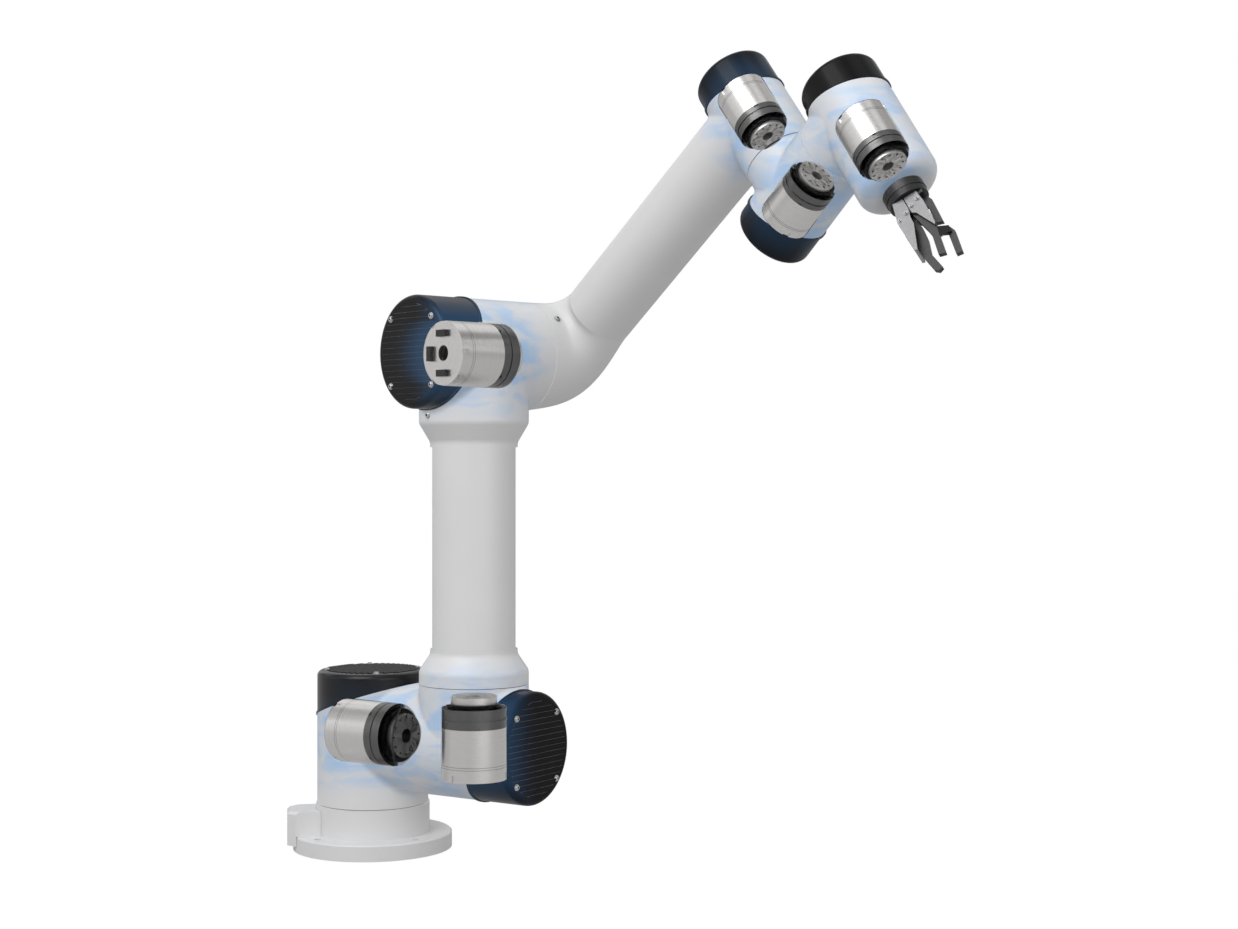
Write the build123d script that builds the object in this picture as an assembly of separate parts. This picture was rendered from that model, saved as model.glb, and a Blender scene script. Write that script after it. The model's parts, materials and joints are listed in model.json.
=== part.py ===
from build123d import *
import os
from math import cos, radians, sin
from types import SimpleNamespace

# A white robot arm whose seven joints are drive modules set in tee-shaped casings.
# Millimetres, +Z up. The origin is the centre of the foot's underside.

# Foot, pedestal and cable box
FOOT_RADIUS = 86.5
FOOT_THICKNESS = 17.5
PEDESTAL_RADIUS = 62.0
PEDESTAL_TOP = 49.5
PEDESTAL_WALL = 8.0
FOOT_HOLE_RADIUS = 3.5
FOOT_HOLE_CIRCLE = 148.0
FOOT_HOLE_COUNT = 4
BOX_AZIMUTH = -170.0
BOX_REACH = 93.0
BOX_WIDTH = 50.0
BOX_TOP = 44.0
BOX_BOTTOM = 7.0
BOX_WALL = 3.0
BOX_CORNER = 9.0
BOX_SOCKET_RADIUS = 7.0

# Casings of the three large joints and the three small ones
LARGE_RADIUS = 59.0
LARGE_PORT_RADIUS = 58.0
LARGE_WALL = 4.5
LARGE_BLEND = 7.0
LARGE_SLANT = 0.34
SMALL_RADIUS = 39.0
SMALL_PORT_RADIUS = 38.2
SMALL_WALL = 3.5
SMALL_BLEND = 6.0
SMALL_SLANT = 0.25
BULKHEAD = 5.0
WEB = 5.0
SEAM_GAP = 0.7

# Caps
CAP_WALL = 3.0
CAP_EDGE = 6.0
CAP_BEAD_HEIGHT = 2.6
CAP_BEAD_PROUD = 1.4
RIB_PITCH = 6.0
RIB_WIDTH = 2.4
RIB_HEIGHT = 1.3
RIB_MARGIN = 9.0

# Column, the casing that turns on the pedestal
COLUMN_RADIUS = 60.5
SHOULDER_HEIGHT = 125.0
COLUMN_PORT = 75.0
COLUMN_CAP_CUT = 36.5
COLUMN_CAP_END = 69.7
SHOULDER_AZIMUTH = -33.5

# Shoulder, the casing that pitches on the column
SHOULDER_REACH = 140.3
SHOULDER_PORT = 62.5
LARGE_CAP_CUT = 40.0
LARGE_CAP_END = 82.0

# Upper arm
COLLAR_STRAIGHT = 14.0
COLLAR_LENGTH = 36.5
LIP_RADIUS = 46.2
TUBE_RADIUS = 44.0
TUBE_WALL = 4.0
TUBE_TOP = 438.0
TUBE_INSET = 6.0
ELBOW_HEIGHT = 536.0
ELBOW_FRONT = 65.0
FLARE_STRAIGHT = 3.0
FLARE_LENGTH = 28.0
FLARE_LIP = 5.0
FLARE_ROUND = 10.0
LIP_SEAT = 3.0
LIP_SHELF = 4.0
ELBOW_AZIMUTH = 42.3
SEAT_CLEARANCE = 0.3

# Forearm
ELBOW_OFFSET = 125.0
FOREARM_RISE = 37.5
FOREARM_RADIUS = 38.0
FOREARM_WALL = 3.5
FOREARM_LENGTH = 370.4
FOREARM_LOW_SEAM = 76.0
FOREARM_HIGH_SEAM = 66.0
BEND_BORES = ((52.0, 86.0), (44.0, 112.0))
BEND_BORE_START = 22.0

# Wrists
WRIST_1_FRONT = 57.0
WRIST_1_CAP_CUT = 27.0
WRIST_1_CAP_END = 59.0
WRIST_2_REACH = 101.5
WRIST_2_TURN = 6.5
WRIST_2_FRONT = 58.0
WRIST_2_CAP_CUT = 30.5
WRIST_2_CAP_END = 60.0
WRIST_3_REACH = 101.0
WRIST_3_TURN = -3.5
WRIST_3_FRONT = 93.0
WRIST_3_CAP_CUT = 22.0
WRIST_3_CAP_END = 48.0
NOSE_EDGE = 12.0
NOSE_WALL = 6.0

# Drive modules: rear cover, motor shell, gear ring and output boss in a row
LARGE_DRIVE_RADIUS = 34.0
LARGE_DRIVE_REAR = 13.7
LARGE_DRIVE_SHELL = 41.8
LARGE_DRIVE_RING = 20.6
LARGE_DRIVE_BOSS = 11.5
LARGE_DRIVE_FLANGE = 24.0
LARGE_DRIVE_BORE = 7.8
SMALL_DRIVE_RADIUS = 25.0
SMALL_DRIVE_REAR = 9.5
SMALL_DRIVE_SHELL = 29.0
SMALL_DRIVE_RING = 14.3
SMALL_DRIVE_BOSS = 8.0
SMALL_DRIVE_FLANGE = 18.5
SMALL_DRIVE_BORE = 5.6
YAW_DRIVE_RADIUS = 42.0
YAW_DRIVE_REAR = 7.0
YAW_DRIVE_SHELL = 21.0
YAW_DRIVE_RING = 10.0
YAW_DRIVE_BOSS = 14.0
YAW_DRIVE_FLANGE = 30.0
YAW_DRIVE_BORE = 12.0
YAW_DRIVE_BASE = 6.0
DRIVE_WALL = 3.0
DRIVE_PLATE = 2.5
CONNECTOR_HEIGHT = 4.0
RUNNING_GAP = 0.6
STEM_STEP = 4.0
CUP_WALL = 1.6
GROOVE_WIDTH = 1.4
GROOVE_DEPTH = 0.9
MAGNET_COUNT = 20
STATOR_DEPTH = 7.0
STEP_HEIGHT = 4.5
RING_NOTCH = (1.2, 4.0, 2.6)
COVER_NOTCH = (1.5, 6.0, 0.55)
SOCKET_LENGTH = 7.0
FLANGE_HOLES = 12
FLANGE_HOLE_RADIUS = 1.3
FLANGE_HOLE_DEPTH = 4.0
FLANGE_HOLE_INSET = 3.4
HUB_STEP = 4.0

# How far behind its casing's centre each drive's rear face lies
COLUMN_DRIVE_BACK = 40.0
SHOULDER_DRIVE_BACK = 38.5
ELBOW_DRIVE_BACK = 40.6
WRIST_1_DRIVE_BACK = 37.0
WRIST_2_DRIVE_BACK = 36.0
WRIST_3_DRIVE_BACK = -2.0

# Tool flange and gripper. Pivots are (across, along) the tool's axis
TOOL_TURN = 144.0
TOOL_RADIUS = 20.0
TOOL_TOP = 102.0
PALM_RADIUS = 19.0
PALM_TOP = 108.5
PALM_BLOCK_TOP = 112.0
PALM_BLOCK_HALF_WIDTH = 15.0
PALM_BLOCK_HALF_DEPTH = 11.5
CHEEK_THICKNESS = 2.0
CHEEK_START = PALM_TOP + 0.5
FINGER_THICKNESS = 6.0
FINGER_SPREAD = 7.5
CROSSBAR_ALONG = 151.0
CROSSBAR_SECTION = (7.5, 5.0)
KNUCKLE_RADIUS = 5.0
LINK_KNUCKLE_RADIUS = 4.0
KNUCKLE_PROUD = 0.6
PIN_RADIUS = 2.0
PIN_CLEARANCE = 0.05
THUMB_PIVOT = (-7.5, 124.1)
FORK_PIVOT = (-0.2, 120.2)
LINK_PIVOT = (7.4, 116.5)


def disc(radius, low, high):
    """A round solid about Z from height low to height high."""
    return Pos(0, 0, low) * Cylinder(radius, high - low, align=(Align.CENTER, Align.CENTER, Align.MIN))


def ring(outer, inner, low, high):
    """A tube about Z."""
    return disc(outer, low, high) - disc(inner, low - 1, high + 1)


def block(low, high):
    """A box between two corners."""
    size = [b - a for a, b in zip(low, high)]
    return Pos(*low) * Box(*size, align=(Align.MIN, Align.MIN, Align.MIN))


def wires_meeting(shape):
    """The edges where two round walls run into each other."""
    plain = (GeomType.LINE, GeomType.CIRCLE)
    return [edge for edge in shape.edges() if edge.geom_type not in plain]


# The drives


def drive_size(radius, rear, shell, gear, boss, flange, bore):
    """The sizes of one drive, with the heights where its pieces meet, from its rear face."""
    return SimpleNamespace(
        radius=radius,
        rear=rear,
        shell_end=rear + shell,
        ring_end=rear + shell + gear,
        length=rear + shell + gear + boss,
        flange=flange,
        bore=bore,
        step=(radius + flange) / 2,
        stem=flange - STEM_STEP,
        stator_bore=radius - DRIVE_WALL - STATOR_DEPTH,
    )


large_drive = drive_size(
    LARGE_DRIVE_RADIUS,
    LARGE_DRIVE_REAR,
    LARGE_DRIVE_SHELL,
    LARGE_DRIVE_RING,
    LARGE_DRIVE_BOSS,
    LARGE_DRIVE_FLANGE,
    LARGE_DRIVE_BORE,
)
small_drive = drive_size(
    SMALL_DRIVE_RADIUS,
    SMALL_DRIVE_REAR,
    SMALL_DRIVE_SHELL,
    SMALL_DRIVE_RING,
    SMALL_DRIVE_BOSS,
    SMALL_DRIVE_FLANGE,
    SMALL_DRIVE_BORE,
)
yaw_drive = drive_size(
    YAW_DRIVE_RADIUS,
    YAW_DRIVE_REAR,
    YAW_DRIVE_SHELL,
    YAW_DRIVE_RING,
    YAW_DRIVE_BOSS,
    YAW_DRIVE_FLANGE,
    YAW_DRIVE_BORE,
)


def rear_cover(drive):
    """A notched cup over the controller, with its sockets on the plate as separate solids."""
    cup = disc(drive.radius, 0, drive.rear) - disc(drive.radius - DRIVE_WALL, DRIVE_PLATE, drive.rear + 1)
    cup -= disc(drive.bore + RUNNING_GAP, -1, DRIVE_PLATE + 1)
    depth, width, share = COVER_NOTCH
    notch = block((drive.radius - depth, -width / 2, -1), (drive.radius + 1, width / 2, drive.rear * share))
    cup -= [Rot(0, 0, angle) * notch for angle in (30, 150, 270)]
    start = (drive.bore + drive.radius - SOCKET_LENGTH) / 2
    socket = block((start, -drive.bore, -CONNECTOR_HEIGHT), (start + SOCKET_LENGTH, drive.bore, 0))
    sockets = [Rot(0, 0, angle) * socket for angle in (0, 90, 180)]
    return Compound(children=[cup, *sockets])


def motor_shell(drive):
    """The steel motor shell, with the plain ring of its stator standing in from its wall."""
    shell = ring(drive.radius, drive.radius - DRIVE_WALL, drive.rear, drive.shell_end)
    core = ring(drive.radius - DRIVE_WALL, drive.stator_bore, drive.rear + 3, drive.shell_end - 3)
    return shell + core


def gear_ring(drive):
    """The dark ring gear that carries the output bearing: grooved round its waist, notched at its rear
    edge and stepped in front."""
    waist = (drive.shell_end + drive.ring_end) / 2 - GROOVE_WIDTH
    body = disc(drive.radius, drive.shell_end, drive.ring_end)
    body += disc(drive.step, drive.ring_end, drive.ring_end + STEP_HEIGHT)
    body -= disc(drive.stem + RUNNING_GAP, drive.shell_end - 1, drive.ring_end - RUNNING_GAP)
    body -= disc(drive.flange + RUNNING_GAP, drive.ring_end - RUNNING_GAP, drive.ring_end + STEP_HEIGHT + 1)
    body -= ring(drive.radius + 1, drive.radius - GROOVE_DEPTH, waist, waist + GROOVE_WIDTH)
    depth, width, height = RING_NOTCH
    notch = block((drive.radius - depth, -width / 2, drive.shell_end - 1),
                  (drive.radius + 1, width / 2, drive.shell_end + height))
    return body - [Rot(0, 0, angle) * notch for angle in (45, 135, 225, 315)]


def output_flange(drive):
    """The flexible cup inside the ring gear and the bored flange in front of it, in one piece.
    Screws of the next link go into the flange's circle of blind holes."""
    cup_low = drive.shell_end + 2
    stem = disc(drive.stem, cup_low, drive.ring_end + 1)
    stem -= disc(drive.stem - CUP_WALL, cup_low - 1, drive.ring_end - 3)
    flange = disc(drive.flange, drive.ring_end + RUNNING_GAP, drive.length)
    flange -= disc(drive.bore, cup_low, drive.length + 1)
    hole = disc(FLANGE_HOLE_RADIUS, drive.length - FLANGE_HOLE_DEPTH, drive.length + 1)
    circle = PolarLocations(drive.flange - FLANGE_HOLE_INSET, FLANGE_HOLES)
    return stem - disc(drive.bore, cup_low - 1, drive.length) + flange - [place * hole for place in circle]


def rotor(drive):
    """The hollow motor shaft with its magnets and the oval wave plug inside the flexible cup."""
    shaft_end = drive.ring_end - 4
    shaft = disc(drive.bore + 3, DRIVE_PLATE + 1, shaft_end)
    magnet_stack = RegularPolygon(drive.stator_bore - RUNNING_GAP, MAGNET_COUNT)
    magnets = extrude(magnet_stack, drive.shell_end - drive.rear - 8)
    plug_radius = drive.stem - CUP_WALL - RUNNING_GAP
    plug = extrude(Ellipse(plug_radius, plug_radius - 1), shaft_end - drive.shell_end - 4)
    turning = shaft + Pos(0, 0, drive.rear + 4) * magnets + Pos(0, 0, drive.shell_end + 4) * plug
    return turning - disc(drive.bore, 0, drive.length)


# The casings. Each stands in its own frame: +Z is the front opening, -Z the cap and +X the port.

large = SimpleNamespace(
    port=LARGE_PORT_RADIUS, wall=LARGE_WALL, blend=LARGE_BLEND, slant=LARGE_SLANT, drive=large_drive
)
small = SimpleNamespace(
    port=SMALL_PORT_RADIUS, wall=SMALL_WALL, blend=SMALL_BLEND, slant=SMALL_SLANT, drive=small_drive
)
TO_PORT = Rot(0, 90, 0)


def rear_side(size, cut, span=400.0):
    """All space behind the slanted plane where a cap meets its casing."""
    slope = Plane(origin=(0, 0, -cut), z_dir=(size.slant, 0, 1))
    return slope.location * block((-span, -span, -span), (span, span, 0))


def tee_outside(radius, size, front, port_length):
    """The outer form of a casing: a barrel with a side port, blended where they meet."""
    barrel = disc(radius, -2 * radius, front)
    body = barrel + TO_PORT * disc(size.port, 0, port_length + 2 * size.blend)
    body = fillet(wires_meeting(body), size.blend)
    return body - block((port_length, -2 * radius, -3 * radius), (3 * radius, 2 * radius, 3 * radius))


def tee_inside(radius, size, front, port_length):
    """The hollow of a casing, one wall smaller all round and open at all three ends."""
    barrel = disc(radius - size.wall, -2 * radius - 1, front + 1)
    return barrel + TO_PORT * disc(size.port - size.wall, 0, port_length + 1)


def bulkhead(drive, outline, back, turned):
    """The inner wall that a drive's ring gear is bolted against, as far out as the casing's outline."""
    low = drive.ring_end - back
    wall = ring(3 * drive.radius, drive.step + SEAT_CLEARANCE, low, low + BULKHEAD)
    if turned:
        wall = TO_PORT * (wall & disc(LARGE_PORT_RADIUS - 1, low, low + BULKHEAD))
    return wall & outline


def tee_casing(radius, size, front, cut, port_length, back, turned):
    """A hollow casing with its bulkhead, cut off behind along the slanted plane of its cap."""
    outline = tee_outside(radius, size, front, port_length)
    hollow = tee_inside(radius, size, front, port_length)
    casing = outline - hollow + bulkhead(size.drive, outline, back, turned)
    return casing - rear_side(size, cut)


def hub(drive, wall_radius, seam, face):
    """The spigot of the next link: it reaches down to a drive's output flange at height face.
    Its web, at height seam, carries the link's outer wall."""
    inner = drive.flange - HUB_STEP
    spigot = ring(drive.flange, inner, face, seam + WEB)
    foot = ring(drive.flange, drive.bore, face, face + HUB_STEP)
    return spigot + foot + ring(wall_radius, inner, seam, seam + WEB)


def cap(radius, size, cut, end):
    """A ribbed cap: a cup with a slanted mouth, a beaded lip and parallel ribs across its end."""
    cup = disc(radius, -end, 0)
    cup = fillet(cup.edges().group_by(Axis.Z)[0], CAP_EDGE)
    cup -= disc(radius - CAP_WALL, CAP_WALL - end, 1)
    cup &= rear_side(size, cut)
    bead = ring(radius + CAP_BEAD_PROUD, radius - 1, -end, 0)
    bead &= rear_side(size, cut)
    bead -= rear_side(size, cut + CAP_BEAD_HEIGHT)
    count = int((radius - RIB_MARGIN) / RIB_PITCH)
    face = disc(radius - RIB_MARGIN, -end - RIB_HEIGHT, -end)
    rib = block((-RIB_WIDTH / 2, -radius, -end - RIB_HEIGHT), (RIB_WIDTH / 2, radius, -end))
    ribs = [Pos(RIB_PITCH * n, 0, 0) * rib & face for n in range(-count, count + 1)]
    return cup + bead + Compound(children=ribs).solids()


# Directions and places of the casings


def direction(azimuth, rise=0.0):
    """A unit vector at a compass angle about +Z and an angle above the floor."""
    flat = cos(radians(rise))
    return Vector(flat * cos(radians(azimuth)), flat * sin(radians(azimuth)), sin(radians(rise)))


UP = Vector(0, 0, 1)
shoulder_axis = direction(SHOULDER_AZIMUTH)
elbow_axis = direction(ELBOW_AZIMUTH)
forearm_axis = direction(ELBOW_AZIMUTH - 90, FOREARM_RISE)
wrist_1_axis = elbow_axis.cross(forearm_axis)
wrist_2_axis = forearm_axis.rotate(Axis((0, 0, 0), wrist_1_axis), WRIST_2_TURN)
wrist_3_axis = wrist_1_axis.rotate(Axis((0, 0, 0), wrist_2_axis), WRIST_3_TURN)

column_centre = UP * SHOULDER_HEIGHT
shoulder_centre = column_centre + shoulder_axis * SHOULDER_REACH
elbow_centre = Vector(shoulder_centre.X, shoulder_centre.Y, ELBOW_HEIGHT)
bend_centre = elbow_centre + elbow_axis * ELBOW_OFFSET
wrist_1_centre = bend_centre + forearm_axis * FOREARM_LENGTH
wrist_2_centre = wrist_1_centre + wrist_1_axis * WRIST_2_REACH
wrist_3_centre = wrist_2_centre + wrist_2_axis * WRIST_3_REACH


def placed(origin, front, port):
    """The place of a casing from its centre, the way its front faces and the way its port faces."""
    return Plane(origin=origin, x_dir=port, z_dir=front).location


column_place = placed(column_centre, -UP, shoulder_axis)
shoulder_place = placed(shoulder_centre, -shoulder_axis, UP)
upper_arm_place = placed(shoulder_centre, UP, shoulder_axis)
elbow_place = placed(elbow_centre, elbow_axis, -UP)
bend_place = placed(bend_centre, forearm_axis, -elbow_axis)
wrist_1_place = placed(wrist_1_centre, wrist_1_axis, -forearm_axis)
wrist_2_place = placed(wrist_2_centre, wrist_2_axis, -wrist_1_axis)
wrist_3_place = placed(wrist_3_centre, wrist_3_axis, -wrist_2_axis)

# The row of pieces
parts = {}


def add_drive(name, drive, place):
    """The five pieces of one drive, each in its own node."""
    parts[name + "_drive_rear_cover"] = place * rear_cover(drive)
    parts[name + "_drive_motor_shell"] = place * motor_shell(drive)
    parts[name + "_drive_gear_ring"] = place * gear_ring(drive)
    parts[name + "_drive_rotor"] = place * rotor(drive)
    parts[name + "_drive_output"] = place * output_flange(drive)


# Foot, pedestal, cable box and yaw drive


def pedestal():
    """A round foot with bolt holes and a hollow pedestal that holds the yaw drive."""
    foot = disc(FOOT_RADIUS, 0, FOOT_THICKNESS)
    foot = chamfer(foot.edges().group_by(Axis.Z)[-1], 1.5)
    body = foot + disc(PEDESTAL_RADIUS, 0, PEDESTAL_TOP)
    shelf = YAW_DRIVE_BASE + yaw_drive.ring_end
    body -= disc(PEDESTAL_RADIUS - PEDESTAL_WALL, -1, shelf)
    body -= disc(yaw_drive.step + SEAT_CLEARANCE, shelf - 1, PEDESTAL_TOP + 1)
    hole = disc(FOOT_HOLE_RADIUS, -1, FOOT_THICKNESS + 1)
    return body - [
        Rot(0, 0, 45 + 360 / FOOT_HOLE_COUNT * n) * Pos(FOOT_HOLE_CIRCLE / 2, 0, 0) * hole
        for n in range(FOOT_HOLE_COUNT)
    ]


def cable_box():
    """The chamfered box beside the pedestal, with one round cable socket low on its face."""
    half = BOX_WIDTH / 2
    solid = block((0, -half, BOX_BOTTOM), (BOX_REACH, half, BOX_TOP))
    solid = chamfer(solid.edges().filter_by(Axis.Z).group_by(Axis.X)[-1], BOX_CORNER)
    solid = chamfer(solid.faces().sort_by(Axis.Z)[-1].edges().filter_by(Axis.X, reverse=True), 3)
    solid -= disc(FOOT_RADIUS + SEAT_CLEARANCE, -1, FOOT_THICKNESS)
    solid -= disc(PEDESTAL_RADIUS + SEAT_CLEARANCE, 0, BOX_TOP + 1)
    inner_half = half - BOX_WALL
    solid -= block(
        (PEDESTAL_RADIUS, -inner_half, FOOT_THICKNESS + BOX_WALL),
        (BOX_REACH - BOX_CORNER, inner_half, BOX_TOP - BOX_WALL),
    )
    middle = (FOOT_THICKNESS + BOX_TOP) / 2
    solid -= Pos(0, 0, middle) * TO_PORT * disc(BOX_SOCKET_RADIUS, PEDESTAL_RADIUS + 5, BOX_REACH + 1)
    return Rot(0, 0, BOX_AZIMUTH) * solid


parts["base_pedestal"] = pedestal()
parts["base_cable_box"] = cable_box()
add_drive("yaw", yaw_drive, Pos(0, 0, YAW_DRIVE_BASE))

# Column: the casing that turns on the pedestal
column_front = SHOULDER_HEIGHT - PEDESTAL_TOP - SEAM_GAP
yaw_face = SHOULDER_HEIGHT - YAW_DRIVE_BASE - yaw_drive.length
column_wall = COLUMN_RADIUS - LARGE_WALL + 1
column_floor = ring(column_wall, yaw_drive.bore, yaw_face - WEB, yaw_face)
column = tee_casing(
    COLUMN_RADIUS, large, column_front, COLUMN_CAP_CUT, COLUMN_PORT, COLUMN_DRIVE_BACK, True
)
parts["column_casing"] = column_place * (column + column_floor)
parts["column_cap"] = column_place * cap(COLUMN_RADIUS, large, COLUMN_CAP_CUT, COLUMN_CAP_END)
add_drive("shoulder", large_drive, column_place * TO_PORT * Pos(0, 0, -COLUMN_DRIVE_BACK))

# Shoulder: the casing that pitches on the column
shoulder_front = SHOULDER_REACH - COLUMN_PORT - SEAM_GAP
shoulder_face = SHOULDER_REACH - (large_drive.length - COLUMN_DRIVE_BACK)
shoulder_hub = Pos(0, 0, shoulder_front) * Rot(180, 0, 0) * hub(
    large_drive, LARGE_RADIUS - LARGE_WALL + 1, 0, shoulder_front - shoulder_face
)
parts["shoulder_casing"] = shoulder_place * (
    tee_casing(LARGE_RADIUS, large, shoulder_front, LARGE_CAP_CUT, SHOULDER_PORT, SHOULDER_DRIVE_BACK, True)
    + shoulder_hub
)
parts["shoulder_cap"] = shoulder_place * cap(LARGE_RADIUS, large, LARGE_CAP_CUT, LARGE_CAP_END)
add_drive("roll", large_drive, upper_arm_place * Pos(0, 0, -SHOULDER_DRIVE_BACK))


# Upper arm


def flare(straight, length, wide, narrow, wall):
    """The outside and inside of a flared neck about Z, wide at the bottom and with a straight lip on top."""
    slope = length - FLARE_LIP - straight

    def taper(low_radius, high_radius):
        cone = Cone(low_radius, high_radius, slope, align=(Align.CENTER, Align.CENTER, Align.MIN))
        ends = disc(low_radius, 0, straight) + disc(high_radius, straight + slope, length)
        return ends + Pos(0, 0, straight) * cone

    outside = taper(wide, narrow)
    creases = outside.edges().filter_by(GeomType.CIRCLE).group_by(Axis.Z)[1:3]
    outside = fillet(creases[0] + creases[1], FLARE_ROUND)
    return outside, taper(wide - wall, narrow - wall)


roll_face = large_drive.length - SHOULDER_DRIVE_BACK
collar_low = SHOULDER_PORT + SEAM_GAP
outer, inner = flare(COLLAR_STRAIGHT, COLLAR_LENGTH, LARGE_PORT_RADIUS, LIP_RADIUS, LARGE_WALL)
lip_bore = TUBE_RADIUS + SEAT_CLEARANCE
collar = Pos(0, 0, collar_low) * (outer - inner)
collar_top = collar_low + COLLAR_LENGTH
tube_low = collar_top - TUBE_INSET
collar += ring(LIP_RADIUS - 1, lip_bore - LIP_SEAT, tube_low - LIP_SHELF, tube_low)
collar -= disc(lip_bore, tube_low, collar_top + 1)
collar += hub(large_drive, LARGE_PORT_RADIUS - 1, collar_low, roll_face)
parts["upper_arm_collar"] = upper_arm_place * collar

tube_high = TUBE_TOP + TUBE_INSET - SHOULDER_HEIGHT
parts["upper_arm_tube"] = upper_arm_place * ring(TUBE_RADIUS, TUBE_RADIUS - TUBE_WALL, tube_low, tube_high)

elbow_port = ELBOW_HEIGHT - TUBE_TOP
flare_outside, flare_inside = flare(FLARE_STRAIGHT, FLARE_LENGTH, LARGE_PORT_RADIUS, LIP_RADIUS, LARGE_WALL)
neck = TO_PORT * Pos(0, 0, elbow_port - FLARE_LENGTH) * (flare_outside - flare_inside)
neck_shelf = elbow_port - TUBE_INSET
neck += TO_PORT * ring(LIP_RADIUS - 1, lip_bore - LIP_SEAT, neck_shelf - LIP_SHELF, neck_shelf)
neck -= TO_PORT * disc(lip_bore, neck_shelf, elbow_port + 1)
parts["elbow_casing"] = elbow_place * (
    tee_casing(
        LARGE_RADIUS, large, ELBOW_FRONT, LARGE_CAP_CUT, elbow_port - FLARE_LENGTH, ELBOW_DRIVE_BACK, False
    )
    + neck
)
parts["elbow_cap"] = elbow_place * cap(LARGE_RADIUS, large, LARGE_CAP_CUT, LARGE_CAP_END)
add_drive("elbow", large_drive, elbow_place * Pos(0, 0, -ELBOW_DRIVE_BACK))


# Forearm


def oval(inner, outer, half_width):
    """The frame and half axes of an oval section of the bend, from its innermost and outermost points.
    Points are (along the forearm, along the elbow's axis)."""
    middle = Vector((inner[0] + outer[0]) / 2, 0, (inner[1] + outer[1]) / 2)
    across = Vector(inner[0] - outer[0], 0, inner[1] - outer[1])
    frame = Plane(origin=middle, x_dir=across, z_dir=across.cross(Vector(0, 1, 0)))
    return frame, across.length / 2, half_width


def elbow_bend():
    """The bent casting: wide and round at the elbow, it turns square to it and narrows to the forearm.
    Its hollow is bored from both ends."""
    low = ELBOW_FRONT + SEAM_GAP
    inside_line = ELBOW_OFFSET - FOREARM_RADIUS
    outside_line = ELBOW_OFFSET + FOREARM_RADIUS
    wide = LARGE_RADIUS
    narrow = FOREARM_RADIUS
    ovals = [
        oval((wide, low), (-wide, low), wide),
        oval((wide, low + 11), (4 - wide, low + 12), wide - 0.5),
        oval((wide + 3, inside_line - 1), (-0.63 * wide, ELBOW_OFFSET + 10), wide - 6),
        oval((wide + 6, inside_line + 1), (8, outside_line - 2.5), narrow + 8),
        oval((FOREARM_LOW_SEAM, inside_line), (FOREARM_LOW_SEAM, outside_line), narrow),
    ]
    casting = loft([frame * Ellipse(reach, half) for frame, reach, half in ovals])
    for radius, depth in BEND_BORES:
        casting -= disc(radius, low - 1, depth)
    way_out = disc(narrow - FOREARM_WALL, BEND_BORE_START, FOREARM_LOW_SEAM + 1)
    casting -= Pos(0, 0, ELBOW_OFFSET) * TO_PORT * way_out
    return casting + hub(large_drive, wide - 1, low, large_drive.length - ELBOW_DRIVE_BACK)


parts["forearm_elbow"] = placed(elbow_centre, elbow_axis, forearm_axis) * elbow_bend()
tube_end = FOREARM_LENGTH - FOREARM_HIGH_SEAM
parts["forearm_tube"] = bend_place * ring(
    FOREARM_RADIUS, FOREARM_RADIUS - FOREARM_WALL, FOREARM_LOW_SEAM, tube_end
)
parts["wrist_1_casing"] = wrist_1_place * tee_casing(
    SMALL_RADIUS, small, WRIST_1_FRONT, WRIST_1_CAP_CUT, FOREARM_HIGH_SEAM, WRIST_1_DRIVE_BACK, False
)
parts["wrist_1_cap"] = wrist_1_place * cap(SMALL_RADIUS, small, WRIST_1_CAP_CUT, WRIST_1_CAP_END)
add_drive("wrist_1", small_drive, wrist_1_place * Pos(0, 0, -WRIST_1_DRIVE_BACK))

# Second and third wrist
for name, place, reach, before, back_before, front, cut, end, back in (
    (
        "wrist_2",
        wrist_2_place,
        WRIST_2_REACH,
        WRIST_1_FRONT,
        WRIST_1_DRIVE_BACK,
        WRIST_2_FRONT,
        WRIST_2_CAP_CUT,
        WRIST_2_CAP_END,
        WRIST_2_DRIVE_BACK,
    ),
    (
        "wrist_3",
        wrist_3_place,
        WRIST_3_REACH,
        WRIST_2_FRONT,
        WRIST_2_DRIVE_BACK,
        WRIST_3_FRONT,
        WRIST_3_CAP_CUT,
        WRIST_3_CAP_END,
        WRIST_3_DRIVE_BACK,
    ),
):
    port_length = reach - before - SEAM_GAP
    face = reach - (small_drive.length - back_before)
    spigot = Pos(0, 0, port_length) * Rot(180, 0, 0) * hub(
        small_drive, SMALL_PORT_RADIUS - 1, 0, port_length - face
    )
    casing = tee_casing(SMALL_RADIUS, small, front, cut, port_length, back, False)
    casing = casing + TO_PORT * spigot - rear_side(small, cut)
    if name == "wrist_3":
        nose = disc(SMALL_RADIUS, front - NOSE_EDGE - NOSE_WALL, front)
        nose = fillet(nose.edges().group_by(Axis.Z)[-1], NOSE_EDGE)
        casing -= disc(SMALL_RADIUS + 1, front - NOSE_EDGE - NOSE_WALL, front + 1)
        nose_bore = SMALL_RADIUS - SMALL_WALL - NOSE_WALL
        nose -= disc(SMALL_RADIUS - SMALL_WALL, 0, front - NOSE_EDGE)
        nose -= disc(nose_bore, 0, front - NOSE_WALL)
        nose -= disc(small_drive.flange + RUNNING_GAP, 0, front + 1)
        casing += nose
    parts[name + "_casing"] = place * casing
    parts[name + "_cap"] = place * cap(SMALL_RADIUS, small, cut, end)
    add_drive(name, small_drive, place * Pos(0, 0, -back))

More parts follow.
